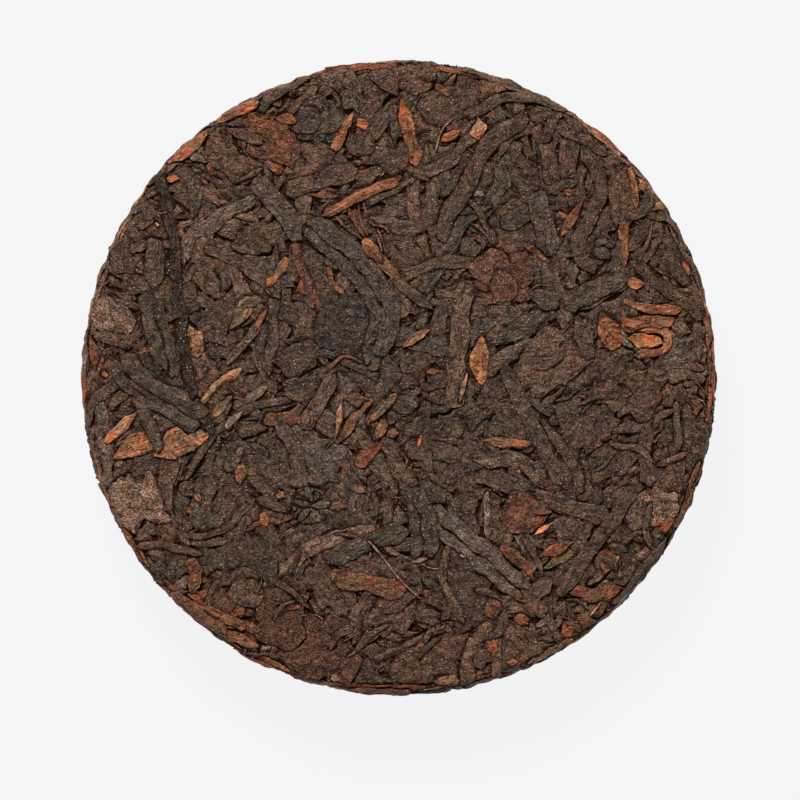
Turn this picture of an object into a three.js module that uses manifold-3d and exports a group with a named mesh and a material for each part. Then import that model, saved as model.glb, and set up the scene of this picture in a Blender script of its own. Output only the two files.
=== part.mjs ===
// A small pressed cake of ripe pu-erh tea: a thick disc with flat faces, softly rounded edges and
// an upright side. The leaves are pressed flush into both faces and wrapped along the side, so
// they stand only a little proud of the packed tea under them. The whole cake is one solid.
// Millimetres, +Z up through the face that is seen, +X to the right, the origin under its middle.

import * as THREE from 'three'
import { mergeVertices } from 'three/addons/utils/BufferGeometryUtils.js'
import Module from 'manifold-3d'

// The cake.
const DIAMETER = 105
const THICKNESS = 14
const LEAF_RISE = 0.7 // how far the proudest leaf stands above the packed tea
const EDGE_RADIUS = 2.4 // the rounding between a face and the side
const CORE_SIDES = 60
const EDGE_STEPS = 2

// The leaves.
const LEAF_SUNK = 0.5 // how deep a leaf reaches into the packed tea
const LEAF_STEP = 3.9 // between two sections along a leaf
const RIM_STEP = 2.6 // the same where a leaf bends over the edge
const BROAD = 4.2 // a leaf wider than this has a crease along its middle
const FACE_LEAVES = 74
const FACE_FILL_TRIES = 900
const SIDE_LEAVES = 36
const UNDERSIDE_LEAVES = 36
const UNDERSIDE_FILL_TRIES = 700
const BEARING_SHARE = 0.4 // the share of the underside's leaves that lie flush on the table
const CELL = 1.5 // the pitch of the grid that keeps the leaves spread out
const OVERLAP_ALLOWED = 0.3
const UNDERSIDE_ROOM = 3.5 // the space kept round a leaf there, where fewer leaves lie
const SHORTEST_EDGE = 0.03

const TEA = { color: '#503e33', roughness: 0.62, metalness: 0 }

const coreRadius = DIAMETER / 2 - LEAF_RISE
const coreBottom = LEAF_RISE
const coreTop = THICKNESS - LEAF_RISE
const flatRadius = coreRadius - EDGE_RADIUS
const edgeArc = (EDGE_RADIUS * Math.PI) / 2
const wall = coreTop - coreBottom - 2 * EDGE_RADIUS
// The way over the core's surface, from the middle of the upper face to the middle of the lower.
const wayToWall = flatRadius + edgeArc
const wayToMiddle = wayToWall + wall / 2
const wholeWay = 2 * wayToMiddle

// The largest leaves of the upper face, each as its width and the points it runs through.
const LARGEST_LEAVES = [
  { width: 4.8, through: [[-15, 25], [-9, 21], [-5, 16], [-2, 11], [-4, 3]] },
  { width: 4.5, through: [[-46.5, 4], [-43, -0.5], [-37.5, -4], [-32, -7]] },
  { width: 1.7, through: [[-40, 33], [-37.2, 25], [-36, 14], [-33.5, -3.5]] },
  { width: 2.8, through: [[21, 42.6], [14.7, 38], [6.4, 22.9]] },
  { width: 1.8, through: [[10.9, 42.6], [18, 45.8], [28, 44.4]] },
  { width: 2.2, through: [[29.9, 37.7], [32.9, 32.4], [29.5, 22.9], [32.5, 18]] },
  { width: 3.5, through: [[22, 30], [25.5, 20]] },
  { width: 2.3, through: [[17, 1], [20, -4], [26.5, -17.5]] },
  { width: 2.3, through: [[38.5, -18], [26, -35.5]] },
  { width: 4, through: [[5, -21.5], [10, -26], [20.5, -35]] },
  { width: 3.2, through: [[10.5, 16], [9, -5]] },
  { width: 3.2, through: [[13.5, -0.8], [13.6, 6.8]] },
  { width: 7, through: [[-34, -29], [-20, -29.5]] },
  { width: 3, through: [[-11, -32], [-5, -33.5], [1, -35]] },
  { width: 3, through: [[-11, -29.5], [-4, -26.5], [2, -25]] },
  { width: 2.5, through: [[-20, -6], [-17, -12], [-16, -18]] },
  { width: 4.5, through: [[-40, -10.5], [-32, -9.5]] },
  { width: 8, through: [[-21.5, 43.5], [-16.5, 34.5]] },
  { width: 3.2, through: [[-23.4, 32.4], [-15.5, 22.5]] },
  { width: 2.3, through: [[-23.5, 29.3], [-34, 23], [-35.2, 18]] },
  { width: 1.6, through: [[-12.5, 26.7], [-0.3, 32.6]] },
  { width: 1.6, through: [[-5.6, 22.5], [0, 15.5], [5.5, 11.3]] },
  { width: 8, through: [[19, 3], [31, 3]] },
  { width: 7, through: [[34.5, -1.5], [43, -2.5]] },
  { width: 6, through: [[-19, -33], [-18.5, -43]] },
  { width: 6, through: [[-28.5, -33.5], [-28.5, -40]] },
]

const wasm = await Module()
wasm.setup()

/** Seeded draws between 0 and 1, from the last 32 bits of a running product. */
function seeded(seed) {
  let state = seed
  return (low = 0, high = 1) => {
    state = (state + 0x6d2b79f5) | 0
    let mixed = Math.imul(state ^ (state >>> 15), 1 | state)
    mixed = (mixed + Math.imul(mixed ^ (mixed >>> 7), 61 | mixed)) ^ mixed
    return low + (((mixed ^ (mixed >>> 14)) >>> 0) / 4294967296) * (high - low)
  }
}

/** A point of the cake, `way` along its surface from the middle of the upper face towards
 * `angle`, and `rise` above that surface. */
function onCake(angle, way, rise) {
  const below = way > wayToMiddle
  const along = below ? wholeWay - way : way
  let radius = along
  let drop = 0
  let lean = 0 // from straight up on the face to straight out on the side
  if (along > wayToWall) {
    radius = coreRadius
    drop = EDGE_RADIUS + along - wayToWall
    lean = Math.PI / 2
  } else if (along > flatRadius) {
    lean = (along - flatRadius) / EDGE_RADIUS
    radius = flatRadius + EDGE_RADIUS * Math.sin(lean)
    drop = EDGE_RADIUS * (1 - Math.cos(lean))
  }
  radius += rise * Math.sin(lean)
  const height = coreTop - drop + rise * Math.cos(lean)
  return new THREE.Vector3(
    radius * Math.cos(angle),
    radius * Math.sin(angle),
    below ? coreBottom + coreTop - height : height,
  )
}

// Each region lays its flat plan, in millimetres, over the cake.
const upperFace = (x, y, rise) => onCake(Math.atan2(y, x), Math.hypot(x, y), rise)
const underside = (x, y, rise) => onCake(Math.atan2(y, x), wholeWay - Math.hypot(x, y), rise)
const side = (x, y, rise) => onCake(x / coreRadius, wayToMiddle - y, rise)

/** The closed mesh as a solid, with its shared corners merged. */
function solidOf(geometry) {
  const bare = geometry.clone()
  bare.deleteAttribute('normal')
  bare.deleteAttribute('uv')
  const merged = mergeVertices(bare, 1e-5)
  return new wasm.Manifold(
    new wasm.Mesh({
      numProp: 3,
      vertProperties: new Float32Array(merged.attributes.position.array),
      triVerts: new Uint32Array(merged.index.array),
    }),
  )
}

/** The packed tea: a lathe of the cake's profile, as far below the surface as a leaf stands proud. */
function packedTea() {
  const profile = [new THREE.Vector2(0, coreBottom)]
  const corner = (centreHeight, from) => {
    for (let step = 0; step <= EDGE_STEPS; step += 1) {
      const turn = from + (step / EDGE_STEPS) * (Math.PI / 2)
      profile.push(
        new THREE.Vector2(
          flatRadius + EDGE_RADIUS * Math.cos(turn),
          centreHeight + EDGE_RADIUS * Math.sin(turn),
        ),
      )
    }
  }
  corner(coreBottom + EDGE_RADIUS, -Math.PI / 2)
  corner(coreTop - EDGE_RADIUS, 0)
  profile.push(new THREE.Vector2(0, coreTop))
  const lathe = new THREE.LatheGeometry(profile, CORE_SIDES)
  return solidOf(lathe.rotateX(Math.PI / 2))
}

/** A leaf: a thin wavy strip along a curve of the region's plan, pointed at both ends, leaning to
 * one side and sunk into the packed tea. A broad one has a crease along its middle. */
function leaf({ region, through, width, rise, lean, wave, phase, step, flush }) {
  const curve = new THREE.CatmullRomCurve3(through.map(([x, y]) => new THREE.Vector3(x, y, 0)))
  const length = curve.getLength()
  const sections = Math.max(3, Math.round(length / step))
  const rows = width > BROAD ? [-1, 0, 1] : [-1, 1]
  const corners = []
  for (let section = 0; section <= sections; section += 1) {
    const along = section / sections
    const point = curve.getPointAt(along)
    const tangent = curve.getTangentAt(along)
    const taper = Math.pow(Math.sin(Math.PI * (0.09 + 0.82 * along)), 0.6)
    const half = (width / 2) * taper
    const ripple = 1 + wave * Math.sin(phase + along * length * 0.9)
    for (const row of rows) {
      const height = flush ? rise : rise * (0.55 + 0.45 * taper) * ripple * (1 + lean * row)
      const crease = row === 0 && !flush ? 0.75 : 1
      const [x, y] = [point.x - tangent.y * half * row, point.y + tangent.x * half * row]
      corners.push(region(x, y, Math.min(height * crease, LEAF_RISE)))
    }
    for (const row of rows) {
      const [x, y] = [point.x - tangent.y * half * row, point.y + tangent.x * half * row]
      corners.push(region(x, y, -LEAF_SUNK))
    }
  }
  return closedStrip(corners, sections, rows.length)
}

/** The solid between the upper and the lower rows of corners, with both faces split alike. */
function closedStrip(corners, sections, across) {
  const at = (section, lower, row) => (section * 2 + lower) * across + row
  const triangles = []
  const quad = (a, b, c, d) => triangles.push(a, b, c, a, c, d)
  for (let section = 0; section < sections; section += 1) {
    const next = section + 1
    for (let row = 0; row < across - 1; row += 1) {
      quad(at(section, 0, row), at(next, 0, row), at(next, 0, row + 1), at(section, 0, row + 1))
      triangles.push(at(section, 1, row), at(next, 1, row + 1), at(next, 1, row))
      triangles.push(at(section, 1, row), at(section, 1, row + 1), at(next, 1, row + 1))
    }
    const last = across - 1
    quad(at(section, 1, 0), at(next, 1, 0), at(next, 0, 0), at(section, 0, 0))
    quad(at(section, 0, last), at(next, 0, last), at(next, 1, last), at(section, 1, last))
  }
  for (let row = 0; row < across - 1; row += 1) {
    quad(at(0, 1, row), at(0, 0, row), at(0, 0, row + 1), at(0, 1, row + 1))
    quad(
      at(sections, 1, row), at(sections, 1, row + 1), at(sections, 0, row + 1), at(sections, 0, row),
    )
  }
  const geometry = new THREE.BufferGeometry()
  geometry.setAttribute(
    'position',
    new THREE.Float32BufferAttribute(corners.flatMap((corner) => corner.toArray()), 3),
  )
  geometry.setIndex(triangles)
  return solidOf(outward(geometry))
}

/** The same mesh with its faces turned out, told by the sign of the volume inside. */
function outward(geometry) {
  const position = geometry.attributes.position
  const index = geometry.index.array
  const [a, b, c] = [new THREE.Vector3(), new THREE.Vector3(), new THREE.Vector3()]
  let volume = 0
  for (let first = 0; first < index.length; first += 3) {
    a.fromBufferAttribute(position, index[first])
    b.fromBufferAttribute(position, index[first + 1])
    c.fromBufferAttribute(position, index[first + 2])
    volume += a.dot(b.cross(c))
  }
  if (volume < 0) {
    for (let first = 0; first < index.length; first += 3) {
      ;[index[first], index[first + 1]] = [index[first + 1], index[first]]
    }
  }
  return geometry
}

/** The cells of a region's plan that a leaf covers, from points spread along and across it. */
function cellsUnder({ through, width }) {
  const curve = new THREE.CatmullRomCurve3(through.map(([x, y]) => new THREE.Vector3(x, y, 0)))
  const cells = new Set()
  const count = Math.ceil(curve.getLength() / CELL) * 2
  for (let index = 0; index <= count; index += 1) {
    const point = curve.getPointAt(index / count)
    const tangent = curve.getTangentAt(index / count)
    for (let off = -width / 2; off <= width / 2; off += CELL / 2) {
      const column = Math.round((point.x - tangent.y * off) / CELL)
      const row = Math.round((point.y + tangent.x * off) / CELL)
      cells.add(`${column},${row}`)
    }
  }
  return cells
}

/** Leaves thrown over a round face, largest first, each kept where most of its place is free. */
function spread(draw, already, wanted, tries, room = 0) {
  const taken = new Set(already.flatMap((plan) => [...cellsUnder(plan)]))
  const plans = [...already]
  for (let attempt = 0; attempt < tries && plans.length < wanted; attempt += 1) {
    const shrink = 1 - (0.55 * attempt) / tries
    const length = draw(12, 22) * shrink
    const width = draw(2, 5.5) * shrink
    const reach = (coreRadius - 0.5) * Math.sqrt(draw())
    const place = draw(0, 2 * Math.PI)
    const heading = draw(0, Math.PI)
    const bend = draw(-0.18, 0.18) * length
    const [x, y] = [reach * Math.cos(place), reach * Math.sin(place)]
    const [dx, dy] = [(Math.cos(heading) * length) / 2, (Math.sin(heading) * length) / 2]
    const through = [
      [x - dx, y - dy],
      [x - (dy * bend) / length, y + (dx * bend) / length],
      [x + dx, y + dy],
    ]
    if (through.some(([px, py]) => Math.hypot(px, py) > coreRadius + 1)) continue
    const cells = [...cellsUnder({ through, width: width + room })]
    const shared = cells.filter((cell) => taken.has(cell)).length
    if (shared > OVERLAP_ALLOWED * cells.length) continue
    cells.forEach((cell) => taken.add(cell))
    plans.push({ through, width })
  }
  return plans
}

/** The finish of one leaf on one region: its rise, lean and wave. */
function leafOn(region, draw, { through, width }) {
  const nearEdge = through.some(([x, y]) => Math.hypot(x, y) > flatRadius - 1)
  return leaf({
    region,
    through,
    width,
    rise: draw(0.35, LEAF_RISE),
    lean: draw(-0.4, 0.4),
    wave: draw(0.08, 0.22),
    phase: draw(0, 2 * Math.PI),
    step: nearEdge && region !== side ? RIM_STEP : LEAF_STEP,
  })
}

function faceLeaves() {
  const draw = seeded(31)
  const plans = spread(draw, LARGEST_LEAVES, FACE_LEAVES, FACE_FILL_TRIES)
  return plans.map((plan) => leafOn(upperFace, draw, plan))
}

/** Narrow leaves that lie along the side, in rows from one edge to the other. */
function sideLeaves() {
  const draw = seeded(57)
  const around = 2 * Math.PI * coreRadius
  const rows = [-6.4, -3.4, 0, 3.4, 6.4]
  return Array.from({ length: SIDE_LEAVES }, (_, index) => {
    const length = draw(12, 24)
    const x = ((index + draw(-0.3, 0.3)) / SIDE_LEAVES) * around
    const y = rows[(index * 2) % rows.length] + draw(-0.6, 0.6)
    const slope = draw(-0.9, 0.9)
    const through = [[x - length / 2, y - slope], [x, y], [x + length / 2, y + slope]]
    return leafOn(side, draw, { through, width: draw(1.5, 2.8) })
  })
}

/** Broad and narrow leaves under the cake, many of them flush on the table it rests on. */
function undersideLeaves() {
  const draw = seeded(83)
  const middle = { width: 8, through: [[-6, -1], [6, 1]] }
  const plans = spread(
    draw, [middle], UNDERSIDE_LEAVES, UNDERSIDE_FILL_TRIES, UNDERSIDE_ROOM,
  )
  return plans.map((plan, index) => {
    const reach = Math.max(...plan.through.map(([x, y]) => Math.hypot(x, y)))
    const bears = index === 0 || (draw() < BEARING_SHARE && reach < flatRadius - plan.width)
    if (!bears) return leafOn(underside, draw, plan)
    return leaf({
      region: underside, ...plan, rise: LEAF_RISE, lean: 0, wave: 0, phase: 0, step: LEAF_STEP,
      flush: true,
    })
  })
}

/** The fused cake, centred over the origin by its own extent. */
function cakeGeometry() {
  const leaves = [...faceLeaves(), ...sideLeaves(), ...undersideLeaves()]
  const cake = leaves.reduce((whole, one) => whole.add(one), packedTea()).simplify(SHORTEST_EDGE)
  const { vertProperties, triVerts, numProp } = cake.getMesh()
  const geometry = new THREE.BufferGeometry()
  const positions = new Float32Array((vertProperties.length / numProp) * 3)
  for (let vertex = 0; vertex < positions.length / 3; vertex += 1) {
    positions.set(vertProperties.subarray(vertex * numProp, vertex * numProp + 3), vertex * 3)
  }
  geometry.setAttribute('position', new THREE.BufferAttribute(positions, 3))
  geometry.setIndex([...triVerts])
  geometry.computeBoundingBox()
  const { min, max } = geometry.boundingBox
  geometry.translate(-(min.x + max.x) / 2, -(min.y + max.y) / 2, -min.z)
  geometry.computeVertexNormals()
  return geometry
}

const cake = new THREE.Mesh(cakeGeometry(), new THREE.MeshStandardMaterial(TEA))
cake.name = 'tea_cake'

const part = new THREE.Group()
part.add(cake)

export default part
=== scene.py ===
import math

import bpy
import numpy as np
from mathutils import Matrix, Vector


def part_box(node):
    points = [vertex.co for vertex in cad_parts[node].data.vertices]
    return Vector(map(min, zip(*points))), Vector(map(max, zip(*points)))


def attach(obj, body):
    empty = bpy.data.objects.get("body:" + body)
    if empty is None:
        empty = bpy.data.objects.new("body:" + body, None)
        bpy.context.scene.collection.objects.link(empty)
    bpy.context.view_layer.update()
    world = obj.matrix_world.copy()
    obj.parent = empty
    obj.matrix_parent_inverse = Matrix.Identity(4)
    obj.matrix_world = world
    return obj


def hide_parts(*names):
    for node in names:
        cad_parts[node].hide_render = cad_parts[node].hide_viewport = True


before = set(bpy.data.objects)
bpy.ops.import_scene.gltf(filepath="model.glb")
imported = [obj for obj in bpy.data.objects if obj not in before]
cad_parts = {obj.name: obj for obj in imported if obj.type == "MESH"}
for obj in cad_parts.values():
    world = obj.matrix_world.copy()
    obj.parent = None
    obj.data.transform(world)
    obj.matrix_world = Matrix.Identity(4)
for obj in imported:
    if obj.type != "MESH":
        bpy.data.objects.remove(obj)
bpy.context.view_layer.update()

# The imported tea. Steamed leaves are pressed in a round mould into a thick disc with flat faces and
# softly rounded edges. This core of broken leaf shows only at the bottom of the crevices, coloured
# darker and warmer than the leaves as painted shade there, and every leaf is laid against the same
# mould. Lengths in this script are millimetres until they are placed.
MM = 0.001
cake_low, cake_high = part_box("tea_cake")
MOULD_SLACK = 0.08  # the proudest leaf stays this far inside the solid's box
cake_radius = (cake_high.x - cake_low.x) / 2 / MM - MOULD_SLACK
cake_top = cake_high.z / MM - MOULD_SLACK
edge_radius = 2.7
flat_radius = cake_radius - edge_radius
edge_arc = edge_radius * math.pi / 2
wall = cake_top - 2 * edge_radius
half_way = flat_radius + edge_arc + wall / 2
whole_way = 2 * half_way
CORE_DEPTH = 0.95
CORE_AROUND = 180
CORE_ALONG = 70


def on_cake(way, bearing, depth):
    """Points of the cake in metres. Way runs over the mould's surface from the middle of the upper
    face, round the edge and down the side to the middle of the underside. Depth goes straight in
    from that surface: the flat gives radius = way and height = top - depth, the edge a quarter
    circle of edge_radius - depth, and the side radius = cake_radius - depth."""
    near = np.where(way > half_way, whole_way - way, way)
    lean = np.clip((near - flat_radius) / edge_radius, 0, math.pi / 2)
    down = np.maximum(near - flat_radius - edge_arc, 0)
    reach = edge_radius - depth
    radius = np.minimum(near, flat_radius) + reach * np.sin(lean)
    height = cake_top - edge_radius + reach * np.cos(lean) - down
    height = np.where(way > half_way, cake_top - height, height)
    return np.stack([radius * np.cos(bearing), radius * np.sin(bearing), height], -1) * MM


NOISE_SIZE = 512
NOISE_CELL = 0.1


def noise_map(pitch, seed, spread=0.5):
    """Smooth seeded noise on a square that repeats at its borders: white noise of which only the
    waves about one pitch long are kept, scaled to a deviation of 1."""
    white = np.random.default_rng(seed).standard_normal((NOISE_SIZE, NOISE_SIZE))
    frequency = np.fft.fftfreq(NOISE_SIZE, NOISE_CELL)
    waves = np.hypot(frequency[:, None], frequency[None, :]) * pitch
    kept = np.fft.ifft2(np.fft.fft2(white) * np.exp(-(((waves - 1) / spread) ** 2))).real
    return kept / kept.std()


def read_noise(noise, x, y):
    """The map's value at x, y in millimetres, blended between its four nearest cells."""
    u, v = x / NOISE_CELL, y / NOISE_CELL
    column, row = np.floor(u).astype(int), np.floor(v).astype(int)
    right, up = u - column, v - row
    column, row = column % NOISE_SIZE, row % NOISE_SIZE
    next_column, next_row = (column + 1) % NOISE_SIZE, (row + 1) % NOISE_SIZE
    lower = noise[row, column] * (1 - right) + noise[row, next_column] * right
    upper = noise[next_row, column] * (1 - right) + noise[next_row, next_column] * right
    return lower * (1 - up) + upper * up


swells = noise_map(9.0, 1)
folds = noise_map(3.2, 2)
crumbs = noise_map(1.3, 3)
wrinkles = noise_map(0.8, 4)
FACE_SWELL = 0.08
SIDE_SWELL = 0.13
DENT = 0.07


def swell(x, y):
    """The slow unevenness of the pressed face and the coarser one of its side, and the dents that run
    on from leaf to leaf, in millimetres."""
    outwards = np.clip((np.hypot(x, y) - flat_radius + 2) / 5, 0, 1)
    deep = FACE_SWELL + (SIDE_SWELL - FACE_SWELL) * outwards
    deep = deep * (1 + np.clip(read_noise(swells, x * 1.5, y * 1.5), -1, 1.6))
    return deep + DENT * (1.2 + np.clip(read_noise(folds, x * 0.9, y * 0.9), -1.2, 2))


def linear(colour):
    """A colour of 0 to 255 as the eye reads it, as the light it gives back."""
    share = np.asarray(colour, float) / 255
    return np.where(share > 0.04045, ((share + 0.055) / 1.055) ** 2.4, share / 12.92)


# What the shine of a dry leaf adds to its colour, and how much light falls on the cake.
SHINE = 0.015
LIGHT = np.array([0.84, 0.81, 0.84])


def dye(colour):
    """The leaf's own colour behind the colour that it shows under the studio's light."""
    return np.clip((linear(colour) - SHINE) / LIGHT, 0.002, 1)


def new_group(name, inputs, outputs):
    """An empty shader group with named sockets, and its input and output nodes."""
    group = bpy.data.node_groups.new(name, "ShaderNodeTree")
    for kind, title, value in inputs:
        socket = group.interface.new_socket(title, in_out="INPUT", socket_type=kind)
        socket.default_value = value
    for kind, title in outputs:
        group.interface.new_socket(title, in_out="OUTPUT", socket_type=kind)
    return group, group.nodes.new("NodeGroupInput"), group.nodes.new("NodeGroupOutput")


def node(tree, kind, links=None, **settings):
    """A node of that kind, with its settings and its linked or constant inputs."""
    made = tree.nodes.new(kind)
    for name, value in settings.items():
        setattr(made, name, value)
    for name, value in (links or {}).items():
        if isinstance(value, bpy.types.NodeSocket):
            tree.links.new(value, made.inputs[name])
        else:
            made.inputs[name].default_value = value
    return made


def math_node(tree, operation, first, second=0.0, third=0.0):
    """One arithmetic step on sockets or numbers."""
    return node(tree, "ShaderNodeMath", {0: first, 1: second, 2: third}, operation=operation).outputs[0]


def centred(tree, noise_socket, power):
    """A factor that varies round 1: twice the noise, raised to a power."""
    return math_node(tree, "POWER", math_node(tree, "MULTIPLY", noise_socket, 2.0), power)


def darkened(tree, shade, mask, share, open_shade=1.0):
    """The shade times what the mask leaves of it: open_shade - share * mask."""
    left = math_node(tree, "MULTIPLY_ADD", mask, -share, open_shade)
    return math_node(tree, "MULTIPLY", shade, left)


def grain_group():
    """The dry leaf's surface. Its shade is (2 fine)^p (2 patch)^q (2 streak)^r, less in the wrinkles,
    crinkles, cracks and pits, where the darkening is painted shade in these hollows. Red goes with
    shade^0.72 and blue with shade^1.5, so it is warmer where it is dark and greyer where it is pale,
    painted warm light bounced into the shade and a painted grey sheen on the pale grain. Fine grain,
    patches and crinkles are noise in the cake's own space, which runs on from leaf to leaf. Streaks
    and wrinkles are noise stretched along the leaf's UV map. Wrinkles and crinkles are where their
    noise is near one half, and cracks run along the borders of cells stretched the same way as the
    wrinkles."""
    group, given, made = new_group(
        "dry leaf grain",
        [
            ("NodeSocketFloat", "Streaks", 0.5), ("NodeSocketFloat", "Grain", 0.5),
            ("NodeSocketFloat", "Cracks", 0.5),
        ],
        [("NodeSocketColor", "Shade"), ("NodeSocketFloat", "Height"), ("NodeSocketFloat", "Painted glints")],
    )
    place = node(group, "ShaderNodeTexCoord")
    fibres = node(group, "ShaderNodeMapping", {"Vector": place.outputs["UV"], "Scale": (0.5, 3.6, 1)})
    streak = node(
        group, "ShaderNodeTexNoise",
        {"Vector": fibres.outputs[0], "Scale": 1.0, "Detail": 3.0, "Roughness": 0.6},
    ).outputs[0]
    skin = node(group, "ShaderNodeMapping", {"Vector": place.outputs["UV"], "Scale": (0.42, 0.95, 1)})
    puckers = node(
        group, "ShaderNodeTexNoise",
        {"Vector": skin.outputs[0], "Scale": 1.0, "Detail": 4.0, "Roughness": 0.5, "Distortion": 0.5},
    ).outputs[0]
    ridge = math_node(group, "ABSOLUTE", math_node(group, "MULTIPLY_ADD", puckers, 2.0, -1.0))
    wrinkle = node(
        group, "ShaderNodeMapRange",
        {"Value": ridge, "From Min": 0.01, "From Max": 0.06, "To Min": 1.0, "To Max": 0.0},
    ).outputs[0]
    fine = node(
        group, "ShaderNodeTexNoise",
        {"Vector": place.outputs["Object"], "Scale": 3800.0, "Detail": 2.0, "Roughness": 0.6},
    ).outputs[0]
    patchy = node(
        group, "ShaderNodeTexNoise",
        {"Vector": place.outputs["Object"], "Scale": 800.0, "Detail": 3.0, "Roughness": 0.6},
    ).outputs[0]
    bent = node(
        group, "ShaderNodeTexNoise", {"Vector": place.outputs["UV"], "Scale": 0.7, "Detail": 3.0}
    ).outputs["Color"]
    shifted = node(
        group, "ShaderNodeVectorMath", {0: bent, 1: (1.6, 1.6, 0), 2: place.outputs["UV"]},
        operation="MULTIPLY_ADD",
    )
    cells = node(group, "ShaderNodeMapping", {"Vector": shifted.outputs[0], "Scale": (0.16, 0.42, 1)})
    border = node(
        group, "ShaderNodeTexVoronoi", {"Vector": cells.outputs[0], "Scale": 1.0},
        feature="DISTANCE_TO_EDGE", voronoi_dimensions="2D",
    ).outputs["Distance"]
    line = node(
        group, "ShaderNodeMapRange",
        {"Value": border, "From Min": 0.006, "From Max": 0.05, "To Min": 1.0, "To Max": 0.0},
    ).outputs[0]
    torn_there = node(
        group, "ShaderNodeMapRange", {"Value": patchy, "From Min": 0.44, "From Max": 0.54}
    ).outputs[0]
    torn_line = math_node(group, "MULTIPLY", line, torn_there)
    crack = math_node(group, "MULTIPLY", torn_line, given.outputs["Cracks"])
    grain_power = math_node(group, "MULTIPLY", given.outputs["Grain"], 1.9)
    patch_power = math_node(group, "MULTIPLY", given.outputs["Grain"], 0.7)
    streak_power = math_node(group, "MULTIPLY", given.outputs["Streaks"], 0.6)
    shade = math_node(
        group, "MULTIPLY", centred(group, fine, grain_power), centred(group, patchy, patch_power)
    )
    shade = math_node(group, "MULTIPLY", shade, centred(group, streak, streak_power))
    # Painted shade in the cracks, which the bump also sinks.
    shade = darkened(group, shade, crack, 0.85)
    # Painted shade in the wrinkles' creases.
    parted = math_node(group, "MULTIPLY", wrinkle, torn_there)
    shade = darkened(group, shade, parted, 0.75, 1.05)
    crumpled = node(
        group, "ShaderNodeTexNoise",
        {
            "Vector": place.outputs["Object"], "Scale": 620.0, "Detail": 3.0, "Roughness": 0.55,
            "Distortion": 0.4,
        },
    ).outputs[0]
    rumple = math_node(group, "ABSOLUTE", math_node(group, "MULTIPLY_ADD", crumpled, 2.0, -1.0))
    crinkle = node(
        group, "ShaderNodeMapRange",
        {"Value": rumple, "From Min": 0.01, "From Max": 0.06, "To Min": 1.0, "To Max": 0.0},
    ).outputs[0]
    # Painted shade in the crinkles' creases.
    shade = darkened(group, shade, crinkle, 0.6, 1.07)
    fibre_height = math_node(group, "MULTIPLY", given.outputs["Streaks"], 0.4)
    height = math_node(group, "MULTIPLY", streak, fibre_height)
    height = math_node(group, "MULTIPLY_ADD", ridge, 0.6, height)
    height = math_node(group, "MULTIPLY_ADD", parted, -0.2, height)
    height = math_node(group, "MULTIPLY_ADD", rumple, 1.0, height)
    height = math_node(
        group, "MULTIPLY_ADD", math_node(group, "MULTIPLY", fine, given.outputs["Grain"]), 0.45, height
    )
    height = math_node(group, "MULTIPLY_ADD", patchy, 0.5, height)
    height = math_node(group, "MULTIPLY_ADD", crack, -0.4, height)
    shaken = node(
        group, "ShaderNodeVectorMath", {0: bent, 1: (0.0006, 0.0006, 0.0006), 2: place.outputs["Object"]},
        operation="MULTIPLY_ADD",
    )
    dots = node(group, "ShaderNodeTexVoronoi", {"Vector": shaken.outputs[0], "Scale": 1900.0})
    near = node(
        group, "ShaderNodeMapRange",
        {
            "Value": dots.outputs["Distance"], "From Min": 0.08, "From Max": 0.24, "To Min": 1.0,
            "To Max": 0.0,
        },
    ).outputs[0]
    glint = node(
        group, "ShaderNodeMapRange", {"Value": dots.outputs["Color"], "From Min": 0.52, "From Max": 0.66}
    ).outputs[0]
    pit = node(
        group, "ShaderNodeMapRange", {"Value": dots.outputs["Color"], "From Min": 0.42, "From Max": 0.30}
    ).outputs[0]
    # Painted glints: pale dots near the middles of some cells, which stand for light glinting off the
    # grain.
    painted_glints = math_node(group, "MULTIPLY", near, glint)
    pits = math_node(group, "MULTIPLY", near, pit)
    # Painted shade in the pits, which the bump also sinks.
    shade = darkened(group, shade, pits, 0.7)
    height = math_node(group, "MULTIPLY_ADD", pits, -0.25, height)
    # Warmer where darker, for painted bounced light in the shade, and greyer where paler, for a painted
    # sheen.
    warm = node(
        group, "ShaderNodeCombineColor",
        {
            "Red": math_node(group, "POWER", shade, 0.72), "Green": shade,
            "Blue": math_node(group, "POWER", shade, 1.5),
        },
    )
    group.links.new(warm.outputs[0], made.inputs["Shade"])
    group.links.new(height, made.inputs["Height"])
    group.links.new(painted_glints, made.inputs["Painted glints"])
    return group


leaf_grain = grain_group()
# The colour of the painted glints.
PAINTED_GLINT = tuple(dye((172, 150, 132))) + (1.0,)
BUMP = 0.0007


def leaf_material(name, streaks, grain, cracks, roughness, shine=0.29):
    """Dry leaf: the leaf's own tint, varied, cracked and given painted shade by the grain, with
    painted glints on it as pale dots.
    """
    material = bpy.data.materials.new(name)
    material.use_nodes = True
    tree = material.node_tree
    surface = tree.nodes["Principled BSDF"]
    tint = node(tree, "ShaderNodeAttribute", attribute_name="tint", attribute_type="GEOMETRY")
    grain_node = node(tree, "ShaderNodeGroup", node_tree=leaf_grain)
    grain_node.inputs["Streaks"].default_value = streaks
    grain_node.inputs["Grain"].default_value = grain
    grain_node.inputs["Cracks"].default_value = cracks
    varied = node(
        tree, "ShaderNodeVectorMath",
        {0: tint.outputs["Color"], 1: grain_node.outputs["Shade"]}, operation="MULTIPLY",
    )
    # The painted glints are mixed into the tint here.
    tint_with_painted_glints = node(
        tree, "ShaderNodeMix", {0: grain_node.outputs["Painted glints"], 6: varied.outputs[0], 7: PAINTED_GLINT},
        data_type="RGBA",
    )
    bump = node(
        tree, "ShaderNodeBump",
        {"Height": grain_node.outputs["Height"], "Strength": 1.0, "Distance": BUMP},
    )
    tree.links.new(tint_with_painted_glints.outputs[2], surface.inputs["Base Color"])
    tree.links.new(bump.outputs[0], surface.inputs["Normal"])
    surface.inputs["Roughness"].default_value = roughness
    surface.inputs["Specular IOR Level"].default_value = shine
    return material


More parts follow.
